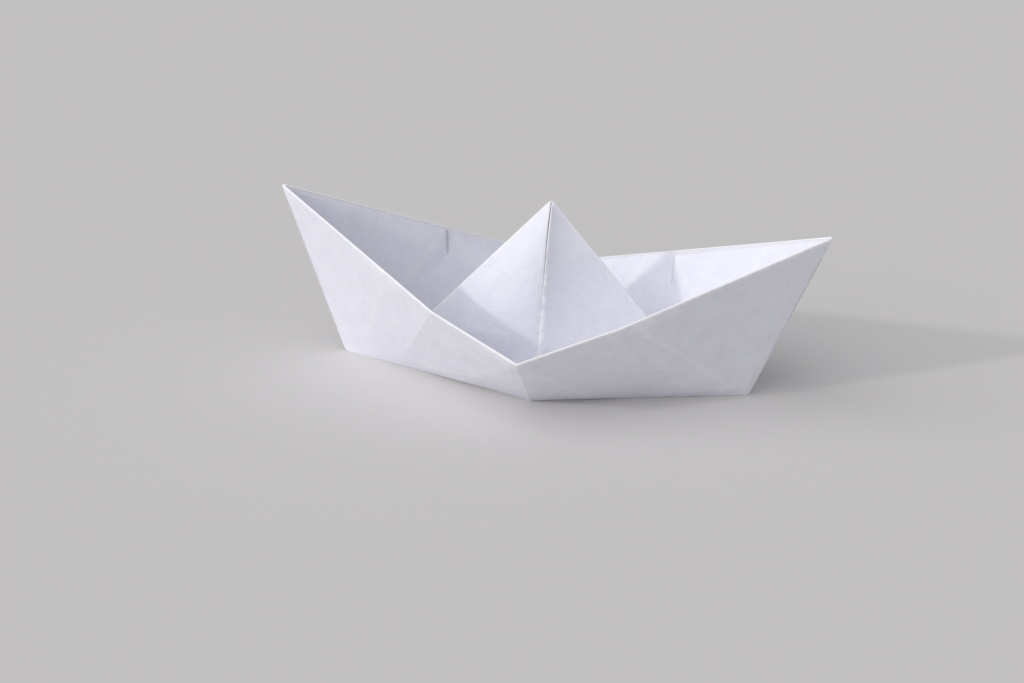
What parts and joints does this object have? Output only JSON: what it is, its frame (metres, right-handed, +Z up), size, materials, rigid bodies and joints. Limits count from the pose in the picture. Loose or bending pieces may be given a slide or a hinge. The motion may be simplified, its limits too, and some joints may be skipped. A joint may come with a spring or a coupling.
{
  "type": "folded paper boat",
  "caption": "Toy boat folded from one sheet of white office paper, with pointed raised ends, an open hold and a hollow pointed sail in the middle.",
  "frame": {"origin": "under the middle of the boat, on the surface that it rests on", "axes": "+X from the middle to one pointed end, +Y from the front rim to the back rim, +Z up along the sail"},
  "size_m": [0.1732, 0.1022, 0.0574],
  "materials": {
    "white_paper": "smooth matte office paper, faintly cool white"
  },
  "bodies": {
    "root": {"paper_boat": "white_paper"}
  },
  "joints": []
}
